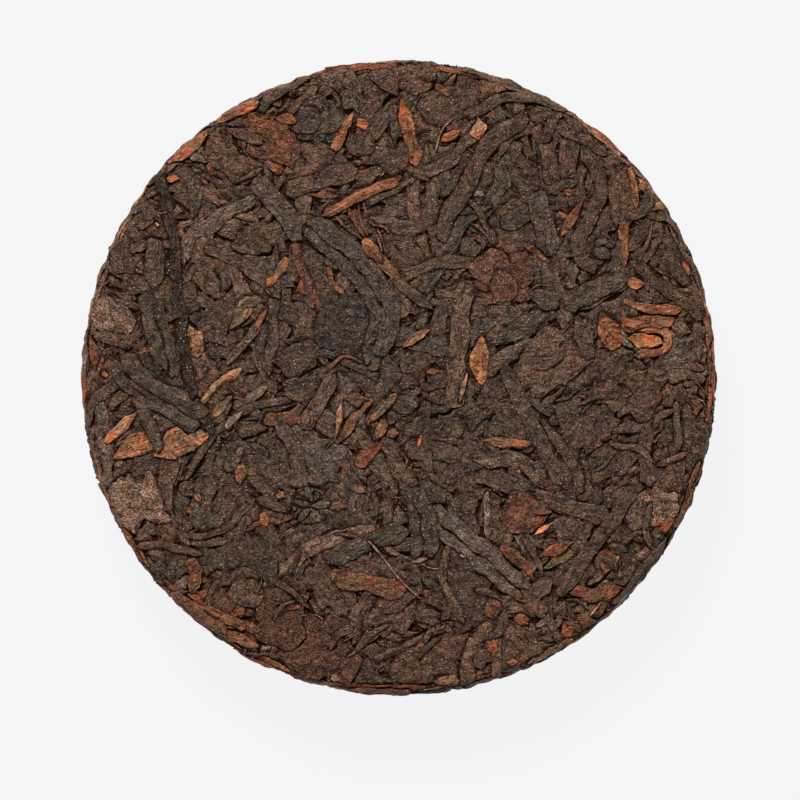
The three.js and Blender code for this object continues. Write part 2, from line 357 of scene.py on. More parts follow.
def finish_piece(name, points, faces, tints, uvs, material):
    """A mesh piece that stands for the cake, with its tint and its UV map, shaded smooth."""
    mesh = bpy.data.meshes.new(name)
    mesh.from_pydata(points, [], faces)
    mesh.polygons.foreach_set("use_smooth", np.ones(len(mesh.polygons), bool))
    colours = mesh.color_attributes.new(name="tint", type="FLOAT_COLOR", domain="POINT")
    colours.data.foreach_set("color", np.column_stack([tints, np.ones(len(tints))]).ravel())
    corners = np.empty(len(mesh.loops), int)
    mesh.loops.foreach_get("vertex_index", corners)
    mesh.uv_layers.new(name="leaf").data.foreach_set("uv", np.asarray(uvs)[corners].ravel())
    mesh.materials.append(material)
    piece = bpy.data.objects.new(name, mesh)
    bpy.context.scene.collection.objects.link(piece)
    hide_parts("tea_cake")
    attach(piece, "root")
    return piece


# Partly the broken leaf's own colour and partly painted shade: much darker and warmer than the leaves, for
# the shade at the crevices' bottom.
BROKEN_LEAF_IN_PAINTED_SHADE = np.array([0.034, 0.012, 0.004])


def packed_core():
    """Rings round the cake at a depth that the crumbs vary, closed by a point in each face."""
    way = np.linspace(0, whole_way, CORE_ALONG + 2)[1:-1, None]
    bearing = np.linspace(0, 2 * math.pi, CORE_AROUND, endpoint=False)[None, :]
    x, y = way * np.cos(bearing), way * np.sin(bearing)
    depth = CORE_DEPTH + 0.10 * read_noise(crumbs, x, y) + 0.08 * read_noise(folds, x, y)
    rings = on_cake(way, bearing, np.clip(depth, 0.6, 1.4)).reshape(-1, 3)
    ends = on_cake(np.array([0, whole_way]), np.zeros(2), np.array([CORE_DEPTH] * 2))
    points = np.vstack([rings, ends])
    ring = np.arange(CORE_ALONG * CORE_AROUND).reshape(CORE_ALONG, CORE_AROUND)
    after = np.roll(ring, -1, axis=1)
    sides = np.stack([ring[:-1], ring[1:], after[1:], after[:-1]], -1).reshape(-1, 4)
    top = np.column_stack([np.full(CORE_AROUND, len(rings)), ring[0], after[0]])
    bottom = np.column_stack([np.full(CORE_AROUND, len(rings) + 1), after[-1], ring[-1]])
    faces = sides.tolist() + top.tolist() + bottom.tolist()
    shade = 1 + 0.25 * np.clip(read_noise(folds, x, y), -2, 2).reshape(-1, 1)
    tints = np.vstack([BROKEN_LEAF_IN_PAINTED_SHADE * shade, np.tile(BROKEN_LEAF_IN_PAINTED_SHADE, (2, 1))])
    uvs = points[:, :2] / MM
    return points, faces, tints, uvs


finish_piece("packed_core", *packed_core(), leaf_material("broken leaf", 0.2, 1.0, 0.5, 0.9, 0.1))

# The strips that lie on top: long thin twisted leaves, near black, pressed in last and standing a
# little proud of the rest. Their places are read from the face, x to the right and y up.
NET_HALF = 64.0
CELL = 0.2
cells = int(2 * NET_HALF / CELL) + 1
# How deep the next leaf has to start, over the flat plan of each half of the cake.
cover = {"upper": np.zeros((cells, cells)), "lower": np.zeros((cells, cells))}
DEEPEST = 1.3

# The colour that each kind of leaf shows under the studio's light, 0 to 255 as the eye reads it.
TONES = {
    "ink": (78, 67, 59), "coal": (80, 68, 58), "bark": (82, 67, 56), "moss": (79, 68, 57),
    "soot": (54, 45, 39), "umber": (87, 70, 59), "cocoa": (97, 76, 63), "clay": (130, 106, 93),
    "ash": (108, 94, 82), "wine": (108, 71, 58), "rust": (110, 74, 56), "brick": (116, 76, 63),
    "khaki": (112, 92, 70), "ember": (136, 90, 65), "flame": (166, 108, 72), "honey": (150, 110, 83),
    "straw": (186, 142, 104), "fawn": (112, 87, 72), "dust": (98, 84, 74), "russet": (124, 70, 46),
    "henna": (90, 66, 54),
}
LIP = 0.12  # how far in from a leaf's outline its edge has turned level
EDGE_DROP = 0.06
CREVICE = 0.45  # how deep a leaf dips right beside one that lies on it
WEAR_AND_HIGHLIGHT = 0.55  # how much paler and greyer a leaf's edge is, partly wear and partly a painted highlight
VEIN_PITCH = 0.95
UNCOVERED = 0.05  # a place shows while nothing deeper than this covers it
PROUDEST = 0.10  # no leaf stands further than this out of the mould's face
BESIDE_REACH = 0.2  # how close beside is
BESIDE = [
    (BESIDE_REACH * math.cos(turn), BESIDE_REACH * math.sin(turn))
    for turn in np.arange(6) * math.pi / 3
]


def centreline(through, step):
    """A Catmull-Rom curve through the points, cut evenly but for a short step at each end: places,
    unit tangents and distances."""
    through = np.asarray(through, float)
    ends = 2 * through[[0, -1]] - through[[1, -2]]
    padded = np.vstack([ends[:1], through, ends[1:]])
    spans = len(through) - 1
    a, b, c, d = (padded[first : first + spans, None] for first in range(4))
    t = np.linspace(0, 1, 12, endpoint=False)[None, :, None]
    bent = 2 * b + (c - a) * t + (2 * a - 5 * b + 4 * c - d) * t**2 + (3 * b - a - 3 * c + d) * t**3
    fine = np.vstack([bent.reshape(-1, 2) / 2, through[-1:]])
    distance = np.concatenate([[0], np.cumsum(np.hypot(*np.diff(fine, axis=0).T))])
    along = np.linspace(0, distance[-1], max(5, int(round(distance[-1] / step)) + 1))
    along = np.insert(along, [1, len(along) - 1], [LIP, distance[-1] - LIP])
    place = np.column_stack([np.interp(along, distance, fine[:, axis]) for axis in (0, 1)])
    tangent = np.gradient(place, along, axis=0)
    return place, tangent / np.linalg.norm(tangent, axis=1, keepdims=True), along


def waver(along, pitch, draw):
    """A smooth line through the distances: three sines about one pitch long, between -1 and 1."""
    lengths = pitch * draw.uniform(0.7, 2.2, 3)
    phases = draw.uniform(0, 2 * math.pi, 3)
    return np.sin(2 * math.pi * along[:, None] / lengths + phases).mean(axis=1)


def torn(along, pitch, draw):
    """A torn edge: straight lines between random heights from -1 to 1, about one pitch apart."""
    knots = np.cumsum(draw.uniform(0.3, 1.7, int(along[-1] / pitch) * 2 + 4)) * pitch - pitch
    return np.interp(along, knots, draw.uniform(-1, 1, len(knots)))


def cell_of(x, y):
    """The row and column of the depth map under each place."""
    last = cells - 1
    column = np.clip(np.rint((x + NET_HALF) / CELL).astype(int), 0, last)
    row = np.clip(np.rint((y + NET_HALF) / CELL).astype(int), 0, last)
    return row, column


def settle(depth, rounds):
    """A stiff leaf over what lies on it: again and again the greater of depth and its own blur."""
    for _ in range(rounds):
        wide = np.pad(depth, 1, mode="edge")
        soft = (wide[:-2] + 2 * wide[1:-1] + wide[2:]) / 4
        soft = (soft[:, :-2] + 2 * soft[:, 1:-1] + soft[:, 2:]) / 4
        depth = np.maximum(depth, soft)
    return depth


def warm_dark(share):
    """What is left of a colour under painted shade in a crevice: less of it, and less green and
    blue than red, for warm light bounced between the leaves.
    """
    return 1 - share[..., None] * np.array([0.66, 0.85, 0.97])


def end_taper(distance, reach, power):
    """How wide a leaf is at a distance from its end: (distance / reach) ** power, up to 1."""
    return np.clip((distance + 0.03) / reach, 0, 1) ** power


def lay(
    heap, net, width, tone, through, draw, step=0.35, pitch=0.3, ends=(0.4, 3.0), ragged=0.10,
    thick=0.34, level=0.0, rise=0.0, creases=0.08, crumple=0.06, cracks=0.0, stiff=1, wobble=0.25,
    vary=0.10, stain=0.2, hues=0.07, tilt=0.08, curl=0.10, fold=0.15, kink=0.08, slant=0.4,
    tear=0.3, veins=0.0, end_tone=None, exposed=0.0, tips=None, run=1.0,
):
    """Lays one leaf under those that are there already and adds it to the heap. Its sides narrow to
    each end as (distance / reach) ** power, wander and are torn, and its ends are slanted and torn.
    Its outer face is level, with a tilt, a curl, a fold along it, kinks across it, creases,
    crumples, cracks and veins, and turns down at its outline. Where something covers it, it passes
    below that instead, settled by its stiffness. Its inner face lies its thickness deeper. Its
    colour is stained towards umber, and warmer or cooler in slow patches. Painted shade makes it
    darker and warmer where it sinks under other leaves or dips beside them, and in its creases,
    valleys, cracks and veins; its edge is paler and greyer, partly wear and partly a painted
    highlight. Returns whether it shows."""
    place, tangent, along = centreline(through, step)
    left = np.column_stack([-tangent[:, 1], tangent[:, 0]])
    length = along[-1]
    place = place + left * (wobble * waver(along, 7.0, draw))[:, None] * min(1.0, length / 8)
    back = length - along
    reaches = np.minimum(draw.uniform(ends[0], ends[1], 2), length * 0.45)
    powers = tips or draw.choice((0.3, 0.5, 0.8, 1.1), 2)
    taper = end_taper(along, reaches[0], powers[0]) * end_taper(back, reaches[1], powers[1])
    sides = [
        width / 2 * taper * (1 + ragged * (torn(along, 1.1, draw) + 1.4 * waver(along, 6.0, draw)))
        for _ in range(2)
    ]
    body = np.linspace(-1, 1, max(4, int(round(width / pitch)) + 1))[None, :]
    half = np.where(body < 0, sides[0][:, None], sides[1][:, None])
    off = np.hstack([-sides[0][:, None], body * (half - np.minimum(LIP, 0.35 * half)), sides[1][:, None]])
    half = np.hstack([sides[0][:, None], half, sides[1][:, None]])
    s = off / half
    jag = tear * np.interp(off / width, np.linspace(-0.6, 0.6, 7), draw.uniform(-1, 1, 7))
    jag = jag * np.exp(-along / 0.9)[:, None] + jag[:, ::-1] * np.exp(-back / 0.9)[:, None]
    lean = slant * draw.uniform(-1, 1) * off + jag * min(1.0, width / 2)
    x = place[:, :1] + left[:, :1] * off + tangent[:, :1] * lean
    y = place[:, 1:] + left[:, 1:] * off + tangent[:, 1:] * lean
    over = cover[net]
    above = over[cell_of(x, y)]
    shows = above < UNCOVERED
    if shows.mean() <= exposed:
        return False
    rows = np.flatnonzero(shows.any(axis=1))
    kept = slice(max(0, rows[0] - 2), min(len(along), rows[-1] + 3))
    x, y, off, s, half, above = x[kept], y[kept], off[kept], s[kept], half[kept], above[kept]
    along, back = along[kept], back[kept]
    t = along / length
    start = draw.uniform(0, 50, 2)
    u, v = along[:, None] + start[0] + 0 * s, off + start[1]
    inset = np.minimum(half - np.abs(off), np.minimum(along, back)[:, None])
    crease = np.clip(1 - np.abs(read_noise(folds, u * 0.45, v * 1.4)) / 0.55, 0, 1)
    valley = np.clip(1 - np.abs(read_noise(folds, u * 0.9 + 9, v * 1.5)) / 0.6, 0, 1)
    split = np.exp(-((read_noise(folds, u + 9, v + 5) / 0.10) ** 2))
    lumps = 0.35 * (read_noise(crumbs, u, v) + read_noise(wrinkles, u, v))
    leaning = draw.uniform(-tilt, tilt, 2)
    own = draw.uniform(0, level) - rise + leaning[0] * s + leaning[1] * (2 * t - 1)[:, None]
    own = own + draw.uniform(-1, 0.8) * curl * (s**2 - 0.4) + kink * torn(along, 3.0, draw)[:, None]
    own = own + EDGE_DROP * np.clip(1 - inset / LIP, 0, 1)
    spine = draw.uniform(-0.5, 0.5) + 0.6 * waver(along, 9.0, draw)[:, None]
    own = own + draw.uniform(-0.6, 1) * fold * np.abs(s - spine)
    own = own + crease * creases + (valley + lumps) * crumple + split * cracks
    vein_way = u - 0.5 * np.abs(off) + 0.12 * read_noise(folds, u, v)
    vein = 0.5 + 0.5 * np.sin(2 * math.pi * vein_way / VEIN_PITCH)
    own = own + vein * veins
    beside = np.max([over[cell_of(x + dx, y + dy)] for dx, dy in BESIDE], axis=0) > UNCOVERED
    parted = np.clip(0.15 + 1.2 * read_noise(folds, x * 0.8 + 11, y * 0.8 + 30), 0, 1)
    crevice = np.where(beside, parted, 0)
    outer = np.maximum(own + CREVICE * crevice, settle(np.minimum(above, DEEPEST), stiff))
    outer = np.maximum(outer, -PROUDEST)
    inner = outer + thick * (0.55 + 0.45 * np.sqrt(np.clip(1 - s**2, 0, 1)))
    splat = 0.3 * pitch
    for dx in (-splat, 0, splat):
        for dy in (-splat, 0, splat):
            np.maximum.at(over, cell_of(x + dx, y + dy), inner)
    across = s.shape[1]
    under = [int(across * 0.8), int(across * 0.2)]
    ring_x = np.hstack([x, x[:, under]])
    ring_y = np.hstack([y, y[:, under]])
    ring_depth = np.hstack([outer, inner[:, under]]) + swell(ring_x, ring_y)
    way = np.hypot(ring_x, ring_y)
    if net == "lower":
        way = whole_way - way
    points = on_cake(way, np.arctan2(ring_y, ring_x), ring_depth)
    colour = dye(TONES[tone]) * (1 + draw.uniform(-vary, vary)) * np.ones((len(along), 1, 1))
    if end_tone:
        blend = np.clip((t - 0.25) / 0.5, 0, 1)[:, None, None]
        colour = colour * (1 - blend) + dye(TONES[end_tone]) * blend
    stained = stain * np.clip(0.5 + 0.8 * read_noise(folds, u * 0.5 + 30, v * 0.7 + 12), 0, 1)[..., None]
    colour = colour * (1 - stained) + dye(TONES["umber"]) * stained
    mottle = 1 + 0.16 * read_noise(folds, u + 20, v + 20) + 0.12 * read_noise(crumbs, u * 0.2, v + 7)
    cast = np.clip(read_noise(swells, x * 2 + 40, y * 2 + 20), -0.4, 2)[..., None]
    hue = 1 + hues * cast * np.array([1.0, -0.2, -0.7])
    warmth = np.clip((np.hypot(x, y) - 25) / 22, 0, 1)[..., None]
    hue = hue * (1 + warmth * np.array([0.10, -0.02, -0.10]))
    # Painted shade: the tint is darker and warmer where the leaf sinks under others, in the crevice beside
    # a leaf that lies on it, and in its creases, valleys, cracks and veins.
    sunk = np.clip((outer - own) / 0.4, 0, 1)
    dark = 0.4 * sunk + 0.8 * crevice + 0.2 * crease * creases / 0.1
    dark = np.clip(dark + 0.2 * valley * crumple / 0.1 + 0.7 * split * cracks / 0.25, 0, 1)
    dark = np.clip(dark + 2.5 * vein * veins, 0, 1)
    # The edge is paler and greyer, partly wear and partly a painted highlight.
    wear_and_highlight = np.clip(0.5 + 0.8 * read_noise(folds, x + 3, y + 60), 0, 1) * np.exp(-inset / 0.1)
    pale = 1 + WEAR_AND_HIGHLIGHT * wear_and_highlight[..., None] * np.array([0.8, 1.0, 1.15])
    tint = colour * np.clip(mottle, 0.5, 1.6)[..., None] * hue * warm_dark(dark) * pale
    tints = np.concatenate([tint, tint[:, under]], axis=1)
    uv = np.stack([u * run, v], -1)
    uvs = np.concatenate([uv, uv[:, under]], axis=1)
    stations, around = ring_x.shape
    ring = heap["count"] + np.arange(stations * around).reshape(stations, around)
    after = np.roll(ring, -1, axis=1)
    quads = np.stack([ring[:-1], ring[1:], after[1:], after[:-1]], -1).reshape(-1, 4)
    caps = [ring[0], ring[-1][::-1]]
    if net == "lower":
        quads, caps = quads[:, ::-1], [cap[::-1] for cap in caps]
    heap["points"].append(points.reshape(-1, 3))
    heap["faces"].extend(quads.tolist() + [cap.tolist() for cap in caps])
    heap["tints"].append(tints.reshape(-1, 3))
    heap["uvs"].append(uvs.reshape(-1, 2))
    heap["count"] += stations * around
    return True


def new_heap():
    """Nothing laid yet."""
    return {"points": [], "faces": [], "tints": [], "uvs": [], "count": 0}


def heap_piece(name, heap, material):
    """One piece from all the leaves of a heap."""
    points, tints, uvs = (np.vstack(heap[part]) for part in ("points", "tints", "uvs"))
    return finish_piece(name, points, heap["faces"], tints, uvs, material)


def lay_all(heap, net, plans, draw, strand=9.0, **finish):
    """Lays leaves that are given as width, tone and the points they run through. A wider one than a
    strand is laid as strands side by side, which spread apart a little."""
    for width, tone, *through in plans:
        strands = max(1, int(round(width / strand)))
        through = np.asarray(through, float)
        chord = through[-1] - through[0]
        left = np.array([-chord[1], chord[0]]) / np.hypot(*chord)
        for place in draw.permutation(strands):
            aside = (place - (strands - 1) / 2) * width / strands
            spread = np.linspace(draw.uniform(0.6, 1.1), draw.uniform(0.8, 1.2), len(through))
            path = through + left * (aside * spread)[:, None]
            lay(heap, net, width / strands * (1.2 if strands > 1 else 1), tone, path, draw, **finish)


top_strips = new_heap()
TOP_STRIPS = (
    (1.7, "soot", (-41.5, 31.5), (-40, 33.2), (-38.3, 30), (-37, 24), (-36, 14), (-34.8, 4), (-33.5, -3.5)),
    (1.8, "coal", (-43, -2), (-39, -12)),
    (1.8, "bark", (10.9, 42.6), (18, 45.8), (28, 44.9)),
    (2.3, "bark", (38.5, -18), (26, -35.5)),
    (2.3, "bark", (17, 1), (20, -4), (26.5, -17.5)),
    (1.0, "umber", (41, 26), (44, 26.3), (46, 24), (47.5, 21)),
    (1.0, "bark", (-35, -25.8), (-29, -25), (-25, -21.5), (-23.5, -19.5)),
    (1.3, "umber", (-43, -27.8), (-38, -27.3), (-32, -28.8)),
    (2.2, "bark", (29.9, 37.7), (32.9, 32.4), (32.1, 27.8), (29.5, 22.9), (29.9, 19.5), (32.5, 18)),
    (2.8, "bark", (21, 42.6), (14.7, 38), (6.4, 22.9)),
)
lay_all(
    top_strips, "upper", TOP_STRIPS, np.random.default_rng(11), pitch=0.24, ends=(0.5, 1.5),
    ragged=0.12, thick=0.5, rise=0.05, creases=0.1, curl=0.3, fold=0.35, stiff=2,
)
heap_piece("top_strips", top_strips, leaf_material("twisted dark leaf", 0.35, 0.9, 0.4, 0.36))

# The split stem and the bud on its stalk, orange and fibrous, with the thin roots of fibre that
# pulled out between them. They are woody, so they stand proud and keep their round section.
stems = new_heap()
STEMS = (
    (1.6, "ember", (-12.4, 26.4), (-6.4, 29.7), (-0.2, 32.3)),
    (0.6, "rust", (-12.0, 27.4), (-6.4, 30.6), (-2.4, 32.2)),
    (0.6, "brick", (-12, 1), (-9, 3.5), (-6, 2.5)),
    (0.3, "straw", (-12.1, 26.5), (-6.4, 29.9), (-1.5, 32.2)),
    (0.3, "honey", (-11.7, 26.0), (-6.4, 29.2), (-2.0, 31.3)),
    (0.9, "brick", (-2.1, 31.6), (0.3, 32.8)),
    (0.45, "rust", (-10.4, 26.4), (-8.6, 24.6), (-6.0, 22.6)),
    (0.6, "rust", (-8.3, 28.0), (-6.9, 25.0), (-5.7, 23.0)),
    (0.25, "rust", (-6.6, 28.8), (-6.2, 26.0), (-5.2, 23.2)),
    (0.3, "brick", (-6.0, 28.9), (-4.6, 25.4), (-2.4, 24.7), (-1.6, 23.6)),
    (0.2, "fawn", (-4.6, 25.4), (-3.4, 22.8), (-2.7, 20.4)),
    (0.25, "brick", (-4.9, 25.8), (-3.2, 23.8), (-2.0, 20.1)),
    (0.3, "clay", (-5, -26.5), (-2.5, -29.5), (0.8, -33.5), (3.5, -36)),
    (0.3, "clay", (9, 42.5), (7, 40.5), (6, 37)),
    (0.3, "straw", (33, -36.5), (31.3, -38.7)),
    (0.5, "straw", (-39.7, 25.3), (-39.2, 24.7)),
)
stem_draw = np.random.default_rng(12)
lay_all(
    stems, "upper", STEMS, stem_draw, step=0.3, pitch=0.18, ends=(0.3, 1.0), thick=0.5,
    rise=0.08, creases=0.14, curl=0.2, kink=0.03, wobble=0.12, run=0.5,
)
BUD_STALK = ((-5.9, 23.2), (-3.4, 19.8), (-1, 17.2), (0.6, 15.0), (5.5, 11.3))
lay(
    stems, "upper", 2.2, "flame", ((-6.0, 23.4), (-4.6, 21.2), (-2.6, 18.6)), stem_draw, step=0.3,
    pitch=0.2, ends=(2.0, 2.4), tips=(0.9, 0.9), ragged=0.06, thick=0.5, rise=0.10, creases=0.03,
    curl=0.1, kink=0.02, wobble=0.05, end_tone="rust",
)
lay(
    stems, "upper", 1.7, "ember", BUD_STALK, stem_draw, step=0.3, pitch=0.2, ends=(1.0, 2.5),
    thick=0.6, rise=0.08, creases=0.04, curl=0.3, kink=0.03, wobble=0.05, end_tone="bark",
)
HAIRS = 55
hair_spread = flat_radius + 1
for _ in range(HAIRS):
    spot = hair_spread * math.sqrt(stem_draw.uniform()) * np.exp(1j * stem_draw.uniform(0, 2 * math.pi))
    half = stem_draw.uniform(0.6, 2.2) * np.exp(1j * stem_draw.uniform(0, math.pi))
    bow = 1j * half * stem_draw.uniform(-0.5, 0.5)
    through = [(at.real, at.imag) for at in (spot - half, spot + bow, spot + half)]
    lay(
        stems, "upper", stem_draw.uniform(0.13, 0.22), str(stem_draw.choice(("fawn", "dust", "rust"))),
        through, stem_draw, step=0.5, pitch=0.1, ends=(0.3, 0.6), thick=0.12, level=0.1, creases=0,
        crumple=0.02, curl=0, fold=0, kink=0.05, wobble=0.05, slant=0, tear=0, run=0.5,
    )
heap_piece("stems", stems, leaf_material("split stem", 1.8, 0.5, 0.3, 0.4))

# The black strips: whole leaves twisted on themselves before they were pressed, almost black with
# a cool cast and a faint shine, some running right across the cake's left and middle.
black_strips = new_heap()
BLACK_STRIPS = (
    (4.5, "ink", (-46.5, 4), (-43, -0.5), (-37.5, -4), (-32, -7)),
    (2.5, "soot", (-42.5, 3.5), (-38, -1), (-33, -5.5), (-30, -9)),
    (3.8, "ink", (-41, 14), (-37.5, 0)),
    (2.8, "coal", (-40, 23), (-39.7, 14)),
    (2.2, "coal", (-33, 33), (-33.6, 26)),
    (3.2, "coal", (-23.4, 32.4), (-15.5, 22.5)),
    (4.8, "ink", (-15, 25), (-9, 21), (-5, 16), (-2, 11), (-4, 3)),
    (2.5, "coal", (-3, 12), (-4.5, 1)),
    (2.5, "ink", (-2, 1.5), (-2, -3)),
    (3.5, "ink", (22, 30), (25.5, 20)),
    (3.0, "ink", (17, 24.6), (22, 27.5)),
    (3.0, "bark", (29, 10), (31.5, 3)),
    (2.6, "ink", (21.5, 14), (26, 11.5)),
    (3.2, "coal", (27, 12), (37, 16.5)),
    (1.2, "coal", (45.3, -4), (45.5, -12)),
    (4.0, "ink", (2.5, -18), (4.5, -26), (3, -29)),
    (4.0, "dust", (5, -21.5), (10, -26), (16, -31), (20.5, -35)),
    (3.0, "moss", (-11, -29.5), (-4, -26.5), (2, -25)),
    (3.6, "ink", (31.5, 21.5), (34.5, 20.5)),
    (1.2, "coal", (44, -26.2), (35.2, -37.1)),
)
lay_all(
    black_strips, "upper", BLACK_STRIPS, np.random.default_rng(13), pitch=0.25, ends=(0.5, 3.0),
    ragged=0.14, thick=0.42, rise=0.02, creases=0.10, crumple=0.05, curl=0.3, fold=0.4, strand=2.4,
)
heap_piece("black_strips", black_strips, leaf_material("black leaf", 0.3, 0.9, 0.5, 0.34))

# The short twists that lie across the bright leaves: dark brown, a few millimetres long, pressed in
# over them by chance, and one leaf rolled up tight that is seen end-on, its folds round its middle.


def strewn(heap, net, seed, wanted, lengths, widths, tones, outermost, clear=(), **finish):
    """Leaves strewn evenly over a face, but for what is kept clear: x, y and reach. Each is kept
    where enough of it would show."""
    draw = np.random.default_rng(seed)
    for _ in range(wanted):
        reach, place = outermost * math.sqrt(draw.uniform()), draw.uniform(0, 2 * math.pi)
        middle = reach * np.array([math.cos(place), math.sin(place)])
        if any(math.dist(middle, (x, y)) < far for x, y, far in clear):
            continue
        heading, length = draw.uniform(0, math.pi), draw.uniform(*lengths)
        half = np.array([math.cos(heading), math.sin(heading)]) * length / 2
        bend = np.array([-half[1], half[0]]) * draw.uniform(-0.4, 0.4)
        through = [middle - half, middle + bend, middle + half]
        tone = str(draw.choice(tones))
        lay(heap, net, draw.uniform(*widths), tone, through, draw, exposed=0.5, **finish)


brown_leaf = leaf_material("brown leaf", 0.25, 1.0, 0.6, 0.37)
crossing_leaves = new_heap()
ROLL_MIDDLE = np.array([-14.3, -20.9])
ROLL_REACH = 3.0
ROLL_PLEATS = 17
roll_draw = np.random.default_rng(29)
round_roll = np.linspace(0.3, 1.5 * math.pi, 8)
lip_of_roll = ROLL_MIDDLE + 0.9 * ROLL_REACH * np.column_stack([np.cos(round_roll), np.sin(round_roll)])
for turn in roll_draw.permutation(ROLL_PLEATS) * 2 * math.pi / ROLL_PLEATS:
    bearing = turn + roll_draw.uniform(-0.08, 0.08)
    spoke = np.array([math.cos(bearing), math.sin(bearing)]) * ROLL_REACH * roll_draw.uniform(0.9, 1.05)
    lay(
        crossing_leaves, "upper", 1.2, str(roll_draw.choice(("umber", "bark", "dust"))),
        ROLL_MIDDLE + spoke * np.array([[0.0], [0.5], [1.0]]), roll_draw, step=0.2, pitch=0.16,
        ends=(1.3, 1.4), tips=(0.7, 0.2), thick=0.35, level=0.04, rise=0.05, creases=0.1,
        crumple=0.08, curl=0.35, fold=0.35, wobble=0.15, slant=0.2, tear=0.1,
    )
lay(
    crossing_leaves, "upper", 0.8, "umber", lip_of_roll, roll_draw, step=0.25, pitch=0.18,
    ends=(0.6, 1.2), thick=0.3, creases=0.1, crumple=0.08, curl=0.1, wobble=0.2, slant=0.1, tear=0.1,
)
KEPT_CLEAR = (
    (40, 8, 11), (13.5, 3, 7), (-6, 26, 11), (-38, -10, 11), (16.8, 16.8, 8), (-31, 0, 7), (-6, -6, 8),
    (24, -30, 8), (-32, -36, 9), (-17, 42, 8), (8, 40, 6), (-14.3, -20.9, 6), (-32.5, 6, 6),
)
strewn(
    crossing_leaves, "upper", 28, 75, (3, 9), (0.7, 1.7), ("bark", "umber", "umber", "cocoa", "coal"),
    flat_radius, KEPT_CLEAR, step=0.4, pitch=0.28, ends=(0.5, 3.5), ragged=0.2, thick=0.25, creases=0.12,
    crumple=0.09, curl=0.3, fold=0.3, slant=0.8,
)
heap_piece("crossing_leaves", crossing_leaves, brown_leaf)

